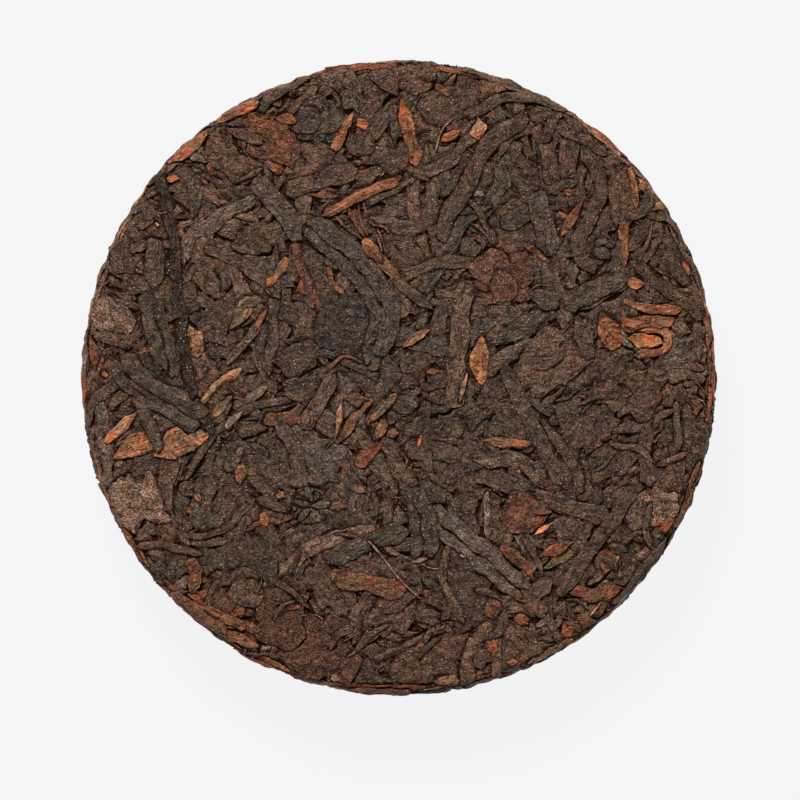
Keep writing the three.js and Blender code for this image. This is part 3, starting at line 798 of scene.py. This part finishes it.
# The golden and orange leaves: tips and buds, which stay pale where the rest turns dark. Most are
# slips a few millimetres long, and a few are folded leaves with fine veins across them.
bright_leaves = new_heap()
BRIGHT_LEAVES = (
    (2.5, "ember", (-38, 35.8), (-31, 40.3)),
    (1.9, "ember", (-30, 42.5), (-23, 45.3)),
    (1.5, "ember", (-38.2, 32.5), (-35.8, 32.6)),
    (2.4, "ember", (-20, 42.5), (-16.5, 42)),
    (2.0, "brick", (-21.5, 35.5), (-19.5, 33.2)),
    (1.3, "bark", (-18, 43.5), (-15.5, 45.5), (-13, 48)),
    (1.3, "ember", (-7.5, 43.5), (-10.5, 37)),
    (2.0, "ember", (-7, 41.6), (-5, 41.4)),
    (2.0, "ember", (0.3, 45.5), (3, 34.5)),
    (1.0, "ember", (6, 48), (8, 46)),
    (1.5, "ember", (6.7, 38.6), (10.3, 40.4)),
    (2.5, "honey", (13, 42.4), (13, 38.6)),
    (1.0, "ember", (9.7, 27.4), (11.3, 28.6)),
    (1.5, "clay", (12.3, 29.7), (13.7, 30.3)),
    (1.2, "honey", (30, 42), (37, 37)),
    (2.5, "ember", (27, 32), (29, 30)),
    (1.5, "rust", (30, 29), (26.5, 23)),
    (1.0, "ember", (20, 22), (24.5, 19)),
    (1.2, "ember", (38, 34.5), (39, 27)),
    (1.5, "ember", (36.3, 25), (37, 18)),
    (1.3, "clay", (38, 27), (44, 28.5)),
    (1.6, "ember", (46.3, 19), (47.7, 17)),
    (1.5, "honey", (-48, -10.5), (-42.5, -5.5)),
    (1.1, "flame", (-35.2, 1.5), (-33.2, -2)),
    (1.3, "honey", (-25.5, 1.5), (-29.5, -1), (-32.5, -4.5)),
    (1.2, "khaki", (-27, -2.7), (-30.5, -6.5)),
    (1.3, "ash", (-25.7, -5.5), (-28.3, -8.3)),
    (1.2, "ash", (-21.5, -1.5), (-25, -4)),
    (2.0, "cocoa", (-25.5, 12.5), (-21.5, 12.5)),
    (0.9, "ember", (-21.5, 11.5), (-23.5, 7.8)),
    (2.2, "khaki", (-24, 13), (-27.5, 8)),
    (1.2, "rust", (-50.5, 7), (-49.5, 1.5)),
    (0.9, "ember", (-48.9, 3.4), (-48.2, 2.6)),
    (0.9, "ember", (-48.3, 0.8), (-47.6, 0.1)),
    (2.0, "ember", (-26, -13.8), (-26, -17.2)),
    (1.6, "ember", (-21.5, 15), (-18, 19.5)),
    (1.5, "ember", (-16, 16.2), (-16, 12.8)),
    (0.9, "honey", (11, 1), (10, -4)),
    (1.2, "ember", (5, 8), (0.5, 5)),
    (0.9, "ember", (4.5, 1), (6.5, 1)),
    (2.4, "rust", (-9, -3.5), (-5, -3.5)),
    (1.5, "rust", (-4.5, -3), (-10, -10.5)),
    (0.9, "honey", (-9.3, -4), (-10.3, -9.5)),
    (1.8, "khaki", (-0.5, -2.5), (-4.5, -7)),
    (1.4, "ember", (-2.2, -6.5), (-3.5, -10)),
    (2.8, "russet", (-7.2, -13.8), (-2.8, -10.8)),
    (1.5, "ember", (-2, -9), (0, -9)),
    (0.9, "ember", (3.8, -9), (3, -12)),
    (1.3, "cocoa", (-9, -13.5), (-8, -17), (-5.5, -18.5)),
    (1.6, "ember", (36.5, 12.5), (41, 11.2), (46, 11.5)),
    (1.8, "ember", (36.5, 11), (38, 9), (45, 9.5)),
    (2.0, "flame", (37.5, 6.5), (43, 6)),
    (1.4, "ember", (37, 8), (43, 7.8), (43.5, 4.5), (38.5, 3.8)),
    (2.0, "flame", (37.1, 15.3), (39.9, 15.3)),
    (1.6, "ember", (14, -10.3), (21.5, -10.8)),
    (1.2, "ember", (32, -10.8), (33, -10.6)),
    (1.2, "rust", (29.5, -12.8), (30.5, -12.9)),
    (1.1, "ember", (18.5, -14.5), (19.5, -14.3)),
    (1.2, "rust", (23.5, -17), (24.5, -17.2)),
    (1.2, "ember", (46.7, -0.5), (47.3, -1.5)),
    (2.2, "rust", (48.5, -3), (48.5, -6)),
    (2.2, "rust", (-32.9, -29.3), (-33.3, -32), (-33.8, -34.9)),
    (2.2, "rust", (-37.5, -35.5), (-33.5, -38.2), (-28, -41.8)),
    (1.8, "ember", (-34.5, -35.4), (-30, -38.6), (-25.0, -40.6)),
    (1.5, "rust", (-38.6, -33.0), (-36, -35.2), (-32.6, -35.6), (-30.4, -33.4)),
    (2.0, "ember", (-29.5, -42.2), (-23, -43.6)),
    (1.2, "straw", (-33.9, -38.6), (-32.7, -39.2)),
    (1.2, "flame", (-22.2, -22), (-21.5, -24)),
    (1.3, "honey", (-19.8, -18.8), (-18.8, -19.3)),
    (1.3, "ember", (-33, -18.8), (-32.3, -20.5)),
    (1.5, "rust", (-11.5, -21), (-8.5, -21)),
    (3.0, "rust", (-11, -32), (-5, -33.5), (1, -35)),
    (1.3, "rust", (-18.5, -37.9), (-15.5, -36.1)),
    (1.0, "ember", (-8.9, -42.9), (-7.1, -41.1)),
    (1.0, "ember", (3, -43.5), (4, -43.5)),
    (1.1, "clay", (14.5, -18.5), (14.3, -26)),
    (0.8, "clay", (10, -29), (11, -28.8)),
    (0.8, "clay", (2, -30), (5, -29.3)),
    (3.0, "rust", (15.5, -35), (15.5, -39)),
    (2.0, "ember", (15, -41), (15, -45)),
    (2.0, "khaki", (6, -49.5), (10, -49.5)),
    (1.2, "honey", (-11.2, -49), (-9.8, -49)),
    (1.2, "straw", (25, -23.5), (22, -25.5)),
    (1.2, "brick", (22, -21.8), (25, -21.8)),
    (1.8, "rust", (23, -29), (28.5, -26.5)),
    (1.6, "khaki", (23.5, -31), (28.5, -28.5)),
    (2.0, "rust", (16.5, -27.5), (19.5, -29.5), (22, -33)),
    (2.0, "ember", (18.8, -39.5), (21.2, -39.5)),
    (2.5, "ember", (33.6, -31.8), (35.4, -27.2)),
    (2.2, "rust", (28, -35), (33, -35.3), (38, -34.5)),
    (1.5, "ember", (43.2, -25.2), (44.2, -22.8)),
    (3.5, "rust", (26.5, -40.5), (32.5, -40.5)),
    (1.6, "ember", (27, -43.8), (29, -43.2)),
    (1.3, "ember", (17.5, -46.5), (19.5, -46.5)),
)
VEINED_LEAVES = (
    (3.7, "honey", (-46.8, -13.2), (-43.3, -11.2), (-39.0, -9.8)),
    (5.0, "honey", (-40.0, -12.6), (-36.2, -10.6), (-31.2, -8.4)),
    (3.2, "honey", (-34.4, 8.8), (-32.4, 3.6)),
    (2.6, "honey", (39.6, 32.7), (41.4, 30.1)),
    (3.8, "ember", (32.9, 10.6), (35.6, 4.6)),
)
lay_all(
    bright_leaves, "upper", VEINED_LEAVES, np.random.default_rng(10), step=0.2, pitch=0.3,
    ends=(3.0, 4.5), tips=(1.0, 0.35), ragged=0.1, thick=0.35, creases=0.05, crumple=0.05,
    veins=0.20, curl=0.2, stain=0.3, hues=0.15,
)
lay_all(
    bright_leaves, "upper", BRIGHT_LEAVES, np.random.default_rng(14), step=0.3, pitch=0.22,
    ends=(0.4, 3.5), ragged=0.26, thick=0.32, creases=0.14, crumple=0.1, vary=0.12, curl=0.25,
    fold=0.25, stain=0.4, hues=0.2,
)
FLAME_LEAF = ((13.6, -1.0), (13.2, 2.5), (13.5, 7.2))
lay(
    bright_leaves, "upper", 2.9, "flame", FLAME_LEAF, np.random.default_rng(9), step=0.25, pitch=0.2,
    ends=(3.4, 3.4), tips=(0.35, 0.9), ragged=0.08, creases=0.05, curl=0.2, fold=0.15, wobble=0.05,
)
heap_piece("bright_leaves", bright_leaves, leaf_material("golden leaf", 1.1, 0.4, 0.3, 0.4))

# The brown strips: leaves rolled less tightly, mid brown, that fill the face between the black
# ones. Some curl back on themselves.
brown_strips = new_heap()
BROWN_STRIPS = (
    (2.3, "dust", (-23.5, 29.3), (-30, 25.5), (-34, 23), (-35.2, 18)),
    (2.0, "cocoa", (-28, 40.5), (-22, 38.7)),
    (3.0, "umber", (-18.5, 30.5), (-7, 34)),
    (1.7, "umber", (-1, 44.5), (-0.5, 38)),
    (3.0, "umber", (-4, 50.5), (0, 46)),
    (1.6, "umber", (-8, 40), (-7.5, 37.3), (-5, 37.2), (-4.8, 40)),
    (2.0, "umber", (-7, 27.5), (3, 33.5)),
    (1.8, "umber", (24, 43.5), (28, 40), (34, 36.5)),
    (2.5, "umber", (23, 41.5), (25.5, 31)),
    (1.8, "cocoa", (22.5, 41.2), (18, 39.5), (16.5, 36)),
    (1.3, "cocoa", (-22, 10), (-28, 2)),
    (2.0, "cocoa", (-50, 7), (-43, 5.5)),
    (3.2, "cocoa", (10.5, 16), (9, -5)),
    (2.6, "cocoa", (-10.5, 0.5), (-15.5, -8.5)),
    (2.5, "umber", (-20, -6), (-17, -12), (-16, -18)),
    (3.0, "umber", (1, -11), (10, -13)),
    (1.5, "ash", (33, 10.5), (38, 5)),
    (2.0, "bark", (37.5, 19), (45, 13.5), (50, 9.5)),
    (2.2, "umber", (43, -6), (40, -11), (41, -17.5)),
    (1.3, "umber", (47, -4), (47.3, -12)),
    (1.0, "cocoa", (47.5, -12), (42, -14.5)),
    (1.5, "umber", (48.5, 10), (49, 3)),
    (1.2, "cocoa", (46.5, 2), (50, 1.5)),
    (2.5, "umber", (44.5, 8.5), (47.5, 7.5)),
    (1.5, "umber", (-24, -19), (-18, -22)),
    (1.5, "umber", (-1.8, -18), (-1.8, -24.5)),
    (1.3, "umber", (-4, -46), (9, -40)),
    (1.0, "cocoa", (20.5, -26), (23.5, -32)),
    (3.0, "cocoa", (25, -33.5), (22, -35.5), (23.5, -39.5)),
    (1.6, "umber", (-44.5, 27.5), (-42, 28), (-40.6, 26), (-42.5, 24.4)),
)
brown_draw = np.random.default_rng(15)
lay_all(
    brown_strips, "upper", BROWN_STRIPS, brown_draw, pitch=0.25, ends=(0.4, 2.5), ragged=0.14,
    thick=0.4, creases=0.14, crumple=0.09, curl=0.3, fold=0.35,
)
heap_piece("brown_strips", brown_strips, brown_leaf)

# The broad leaves: larger leaves pressed flat, crumpled and cracked, grainy and paler than the
# strips that lie over them.
broad_leaves = new_heap()
BROAD_LEAVES = (
    (8.0, "rust", (-22.5, 43.0), (-17.5, 34.5)),
    (5.0, "cocoa", (-31, 39.5), (-24, 31.5)),
    (4.0, "umber", (-27, 22), (-21, 22)),
    (2.0, "clay", (-43, 18), (-41, 18)),
    (6.0, "umber", (-48, 20), (-42, 20)),
    (3.8, "dust", (-12.6, 48.6), (-8.8, 48.4), (-7.0, 43.6)),
    (5.0, "cocoa", (-3.5, 49), (5.5, 49)),
    (4.5, "cocoa", (36.5, 35), (36.5, 25)),
    (4.0, "umber", (36.5, 23), (41.5, 23)),
    (6.0, "clay", (-50, 10), (-43, 10)),
    (8.0, "clay", (-47, -20), (-38, -20)),
    (7.0, "coal", (-34, -29), (-20, -29.5)),
    (6.0, "coal", (-40, -30.5), (-34, -30.5)),
    (9.0, "ink", (-14, 9), (-4, 9)),
    (5.0, "umber", (-19, -2), (-11, -2)),
    (6.0, "umber", (-20.5, 3), (-13.5, 3)),
    (11.0, "fawn", (19, 3), (31, 3)),
    (4.0, "cocoa", (30, -3), (38, -3)),
    (8.0, "cocoa", (34, -2), (43, -2)),
    (7.0, "bark", (31, -13), (39, -13)),
    (5.0, "ash", (38, -25.5), (38, -18.5)),
    (5.0, "clay", (38, -21), (46, -21)),
    (7.0, "wine", (16, -22), (24, -22)),
    (8.0, "henna", (-19, -32), (-19, -44)),
    (10.0, "henna", (-19, -44), (-7, -44)),
)
BROAD = dict(
    ends=(0.8, 3.0), ragged=0.2, thick=0.32, creases=0.05, crumple=0.22, cracks=0.3, wobble=0.4,
    slant=0.6, tear=1.0, tilt=0.04, run=3.0,
)
# Leaves drawn together into a round with a scalloped edge: middle, reach, folds and tones.
GATHERED_LEAVES = (
    ((16.8, 16.8), 5.4, 9, ("wine", "wine", "wine", "cocoa")),
    ((-27.2, -35.2), 4.6, 8, ("henna", "rust", "cocoa")),
    ((-13.4, 42.0), 4.6, 8, ("ink", "coal", "ink")),
)
broad_draw = np.random.default_rng(16)
for middle, reach, pleats, tones in GATHERED_LEAVES:
    for turn in broad_draw.permutation(pleats) * 2 * math.pi / pleats:
        heading = np.array([math.cos(turn), math.sin(turn)])
        away = reach * broad_draw.uniform(0.85, 1.12) * np.array([[-0.15], [0.45], [1.0]])
        lay(
            broad_leaves, "upper", broad_draw.uniform(0.9, 1.25) * 2 * math.pi * reach / pleats,
            str(broad_draw.choice(tones)), np.array(middle) + heading * away, broad_draw, pitch=0.25,
            ends=(0.25 * reach, 0.4 * reach), tips=(0.6, 0.5), thick=0.2, level=0.08, creases=0.12,
            crumple=0.12, curl=0.2, fold=0.3, wobble=0.1, slant=0.2, run=2.0,
        )
lay_all(broad_leaves, "upper", BROAD_LEAVES, broad_draw, **BROAD)
broad_leaf = leaf_material("broad leaf", 0.3, 1.2, 0.8, 0.42)
heap_piece("broad_leaves", broad_leaves, broad_leaf)

# The rim: long thin leaves that the mould's wall pressed flat along the side, dark and ribbed, in
# many short rows that run round the cake and cover both rounded edges.
# Partly the rim leaves' own paler, redder colour and partly painted light: the paler tones stand for light
# on the rounded edge.
RIM_TONES = ("umber", "cocoa", "cocoa", "fawn", "fawn", "rust", "russet", "ember")


def rim_strips(net, seed, wanted):
    """Arcs round the cake at a way between the rounded edge and just past the side's middle."""
    heap = new_heap()
    draw = np.random.default_rng(seed)
    for _ in range(wanted):
        way = draw.uniform(flat_radius + 1.6, half_way + 0.4)
        bearing = draw.uniform(0, 2 * math.pi)
        length = draw.uniform(5, 17)
        drift = draw.uniform(-0.8, 0.8)
        bearings = bearing + np.linspace(-0.5, 0.5, 5) * length / way
        ways = way + np.linspace(-0.5, 0.5, 5) * drift
        through = np.column_stack([ways * np.cos(bearings), ways * np.sin(bearings)])
        lay(
            heap, net, draw.uniform(0.8, 1.9), str(draw.choice(RIM_TONES)), through, draw,
            step=0.7, pitch=0.4, ends=(0.5, 4.0), ragged=0.2, level=0.4, wobble=0.1, exposed=0.3,
        )
    return heap


rim_leaf = leaf_material("rim leaf", 0.5, 1.0, 0.5, 0.38)
heap_piece("rim_strips_upper", rim_strips("upper", 17, 260), rim_leaf)

# The small leaf between: strips and torn scraps of every brown, with a few orange ones, pressed
# into all the room that the larger leaves leave.
SHEET_TONES = {"bark": 0.2, "umber": 0.34, "cocoa": 0.26, "coal": 0.1, "dust": 0.05, "henna": 0.05}
SCRAP_TONES = {
    "ink": 0.06, "coal": 0.12, "bark": 0.20, "umber": 0.30, "cocoa": 0.20, "fawn": 0.03, "dust": 0.03,
    "wine": 0.03, "rust": 0.03, "ember": 0.01,
}
flow = noise_map(17.0, 5)
side = np.arange(cells) * CELL - NET_HALF
BARE_DEPTH = 0.02  # a place is bare while nothing deeper than this covers it
LEFT_BARE = 0.02  # the share of the face where only broken leaf shows


def scraps(net, seed, sizes, rounds, batch, outermost, tones=SCRAP_TONES, **finish):
    """Leaves whose middles are drawn from the places that nothing covers yet, in rounds, the
    length and the width drawn between the two given sizes, and the tones by their shares."""
    heap = new_heap()
    draw = np.random.default_rng(seed)
    inside = np.hypot(side[:, None], side[None, :]) < outermost
    names, shares = list(tones), np.array(list(tones.values()))
    shares = shares / shares.sum()
    for _ in range(rounds):
        bare = np.argwhere((cover[net] < BARE_DEPTH) & inside)
        if len(bare) < LEFT_BARE * inside.sum():
            break
        for row, column in bare[draw.integers(0, len(bare), batch)]:
            if cover[net][row, column] > BARE_DEPTH:
                continue
            x, y = side[column], side[row]
            length, width = draw.uniform(*sizes[0]), draw.uniform(*sizes[1])
            heading = 1.3 * float(read_noise(flow, x + NET_HALF, y + NET_HALF)) + draw.normal(0, 0.55)
            reach = np.array([math.cos(heading), math.sin(heading)]) * length / 2
            bend = np.array([-reach[1], reach[0]]) * draw.uniform(-0.35, 0.35)
            middle = np.array([x, y]) + bend
            through = [middle - reach - bend, middle, middle + reach - bend]
            tone = str(draw.choice(names, p=shares))
            lay(heap, net, width, tone, through, draw, **finish)
    return heap


face_edge = flat_radius + 2.2
SCRAP = dict(
    ends=(0.6, 4.5), ragged=0.18, thick=0.32, level=0.25, creases=0.12, crumple=0.09, slant=0.8,
    tilt=0.14, curl=0.3, fold=0.3,
)
medium_upper = scraps(
    "upper", 18, ((10, 24), (1.3, 3.8)), 1, 60, face_edge + 1, step=0.42, pitch=0.32, exposed=0.35, **SCRAP
)
heap_piece("medium_leaves_upper", medium_upper, brown_leaf)
SHEET = dict(
    ends=(0.8, 4.0), ragged=0.25, thick=0.3, level=0.2, creases=0.12, crumple=0.16, cracks=0.2,
    kink=0.12, curl=0.3, fold=0.2, wobble=0.4, slant=0.8, tear=1.0, tilt=0.08, run=2.2,
)
sheets_upper = scraps(
    "upper", 27, ((8, 20), (4.0, 9.5)), 4, 60, face_edge, SHEET_TONES, step=0.42, pitch=0.34,
    exposed=0.3, **SHEET,
)
heap_piece("sheet_leaves_upper", sheets_upper, leaf_material("pressed leaf", 0.3, 1.1, 0.8, 0.4))
small_upper = scraps(
    "upper", 19, ((5, 13), (1.2, 3.0)), 10, 100, half_way + 1, step=0.5, pitch=0.36, exposed=0.12, **SCRAP
)
heap_piece("small_leaves_upper", small_upper, brown_leaf)
torn_upper = scraps(
    "upper", 20, ((2.5, 6), (1.0, 2.2)), 8, 120, half_way + 1, step=0.5, pitch=0.36, exposed=0.1, **SCRAP
)
heap_piece("torn_leaves_upper", torn_upper, brown_leaf)

# The underside, which lies on the table: the same tea, with broad leaves, strips, rim and small
# leaf laid in the same order, passing under what already laps over the side's middle.
plan_x, plan_y = np.meshgrid(side, side)
plan_way = np.maximum(np.hypot(plan_x, plan_y), 1e-6)
lapped = np.clip((whole_way - plan_way) / plan_way, 0, 4)
lapping = cover["upper"][cell_of(plan_x * lapped, plan_y * lapped)]
cover["lower"] = np.where(plan_way > half_way - 6, lapping, 0.0)

under_strips = new_heap()
strewn(
    under_strips, "lower", 21, 50, (10, 24), (1.6, 4.2), ("ink", "coal", "bark", "moss", "umber"),
    flat_radius - 6, step=0.6, pitch=0.4, thick=0.4, creases=0.14, crumple=0.08, curl=0.15,
)
strewn(
    under_strips, "lower", 22, 60, (3, 8), (1.0, 3.0), ("ember", "rust", "honey", "khaki", "brick"),
    flat_radius - 2, step=0.5, pitch=0.35, ragged=0.26, thick=0.3, creases=0.12, curl=0.15,
    stain=0.7, hues=0.2,
)
strewn(
    under_strips, "lower", 23, 60, (6, 12), (4, 8.5), ("clay", "cocoa", "umber", "bark", "wine"),
    flat_radius - 4, step=0.6, pitch=0.5, **BROAD,
)
heap_piece("leaves_lower", under_strips, brown_leaf)
heap_piece("rim_strips_lower", rim_strips("lower", 24, 300), rim_leaf)
medium_lower = scraps(
    "lower", 25, ((8, 18), (1.8, 5.2)), 4, 90, face_edge + 1, step=0.8, pitch=0.5, exposed=0.45, **SCRAP
)
heap_piece("medium_leaves_lower", medium_lower, brown_leaf)
small_lower = scraps(
    "lower", 26, ((4, 11), (1.5, 3.6)), 14, 80, half_way + 1, step=0.8, pitch=0.5, exposed=0.1, **SCRAP
)
heap_piece("small_leaves_lower", small_lower, brown_leaf)

# The studio: a pale table lit from below, which keeps the cake's shadow faint, a wide soft light
# from the top left, even light from all round, and a camera straight above the cake.
FLOOR_PALE = (0.03, 0.03, 0.03, 1.0)
FLOOR_GLOW = 0.878
floor_mesh = bpy.data.meshes.new("floor")
floor_mesh.from_pydata([(-3, -3, 0), (3, -3, 0), (3, 3, 0), (-3, 3, 0)], [], [(0, 1, 2, 3)])
floor = bpy.data.objects.new("floor", floor_mesh)
bpy.context.scene.collection.objects.link(floor)
pale = bpy.data.materials.new("pale floor")
pale.use_nodes = True
table_top = pale.node_tree.nodes["Principled BSDF"]
table_top.inputs["Base Color"].default_value = FLOOR_PALE
table_top.inputs["Roughness"].default_value = 0.9
table_top.inputs["Specular IOR Level"].default_value = 0.0
table_top.inputs["Emission Color"].default_value = (1.0, 1.0, 1.0, 1.0)
table_top.inputs["Emission Strength"].default_value = FLOOR_GLOW
floor_mesh.materials.append(pale)

ROOM_GLOW = 0.40
world = bpy.data.worlds.new("studio")
world.use_nodes = True
world.node_tree.nodes["Background"].inputs["Color"].default_value = (1.0, 1.0, 1.0, 1.0)
world.node_tree.nodes["Background"].inputs["Strength"].default_value = ROOM_GLOW
bpy.context.scene.world = world

KEY_PLACE = (-0.25, 0.85, 0.85)
KEY_WIDTH = 0.3
KEY_POWER = 20.0
key_data = bpy.data.lights.new("key", "AREA")
key_data.shape = "DISK"
key_data.size = KEY_WIDTH
key_data.energy = KEY_POWER
key = bpy.data.objects.new("key", key_data)
key.location = KEY_PLACE
key.rotation_euler = key.location.to_track_quat("Z", "Y").to_euler()
bpy.context.scene.collection.objects.link(key)

FRAME_WIDTH = 130.4  # millimetres across the photograph at the level of the face
FRAME_MIDDLE = (0.18, -3.58)
camera_data = bpy.data.cameras.new("camera")
camera_data.sensor_width = 36
camera_data.lens = 200
camera_data.clip_start = 0.01
camera = bpy.data.objects.new("camera", camera_data)
distance = FRAME_WIDTH * camera_data.lens / camera_data.sensor_width
camera.location = (FRAME_MIDDLE[0] * MM, FRAME_MIDDLE[1] * MM, (cake_top + distance) * MM)
bpy.context.scene.collection.objects.link(camera)
bpy.context.scene.camera = camera
bpy.context.scene.view_settings.view_transform = "Standard"
